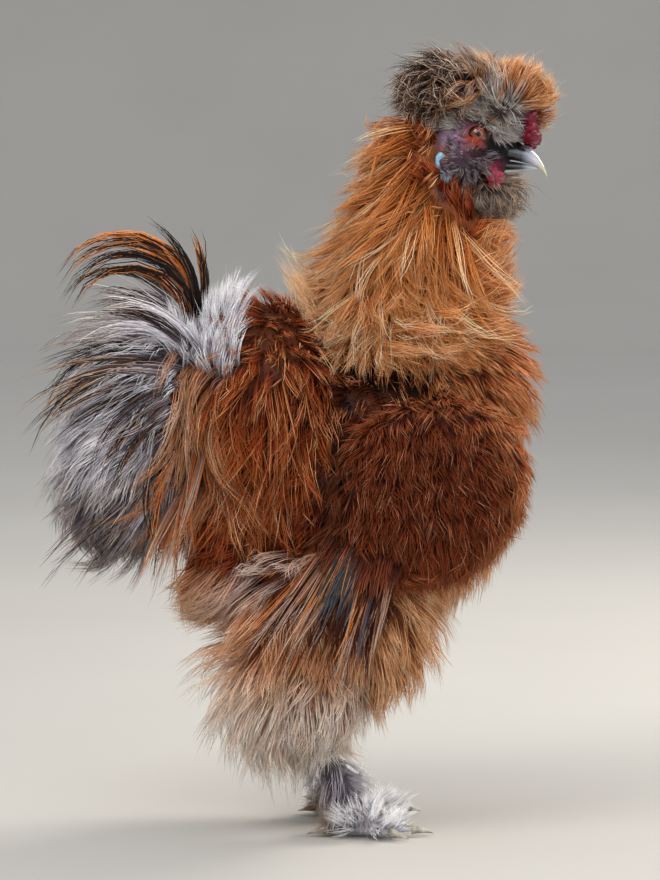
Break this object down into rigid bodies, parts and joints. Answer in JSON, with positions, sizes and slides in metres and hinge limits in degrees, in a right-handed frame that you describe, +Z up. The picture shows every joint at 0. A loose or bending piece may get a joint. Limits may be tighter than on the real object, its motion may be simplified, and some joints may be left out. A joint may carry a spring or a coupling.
{
  "type": "silkie chicken",
  "caption": "A standing silkie cockerel with a puffed crest, long hackle, silky hanging plumes and feathered feet, as a still life-size model.",
  "frame": {"origin": "middle of the bird's outline, on the floor it stands on", "axes": "+X the way the bird faces, +Y to its left, +Z up"},
  "size_m": [0.2316, 0.1276, 0.3367],
  "materials": {
    "eye": "glossy dark brown eye",
    "horn": "smooth slate horn, pale at the tip",
    "breast_feathers": "soft rufous silkie feather",
    "face_skin": "matte dark skin",
    "comb_skin": "waxy mulberry skin",
    "earlobe_skin": "smooth turquoise skin",
    "hackle_feathers": "silky orange hackle",
    "saddle_feathers": "silky rust saddle hackle",
    "tail_feathers": "loose grey and dark brown plumes",
    "wing_feathers": "soft mahogany coverts and slate flights",
    "thigh_fluff": "fluffy buff down",
    "shank_down": "grey shank down",
    "foot_down": "white toe down over slate skin",
    "claw_horn": "smooth pale horn",
    "crest_feathers": "dark curled crest feather",
    "face_down": "short grey-brown down"
  },
  "bodies": {
    "root": {"eye_right": "eye", "eye_left": "eye", "beak_upper": "horn", "beak_lower": "horn", "torso": "breast_feathers", "head": "face_skin", "comb": "comb_skin", "wattle_right": "comb_skin", "wattle_left": "comb_skin", "earlobe_right": "earlobe_skin", "earlobe_left": "earlobe_skin", "neck": "hackle_feathers", "crest_front": "hackle_feathers", "saddle": "saddle_feathers", "tail": "tail_feathers", "wing_right": "wing_feathers", "wing_left": "wing_feathers", "thigh_right": "thigh_fluff", "thigh_left": "thigh_fluff", "shank_right": "shank_down", "shank_left": "shank_down", "foot_right": "foot_down", "foot_left": "foot_down", "claw_middle_right": "claw_horn", "claw_inner_right": "claw_horn", "claw_outer_right": "claw_horn", "claw_hind_right": "claw_horn", "claw_fifth_right": "claw_horn", "claw_middle_left": "claw_horn", "claw_inner_left": "claw_horn", "claw_outer_left": "claw_horn", "claw_hind_left": "claw_horn", "claw_fifth_left": "claw_horn", "crest_back": "crest_feathers", "beard": "face_down", "muff_right": "face_down", "muff_left": "face_down"}
  },
  "joints": []
}
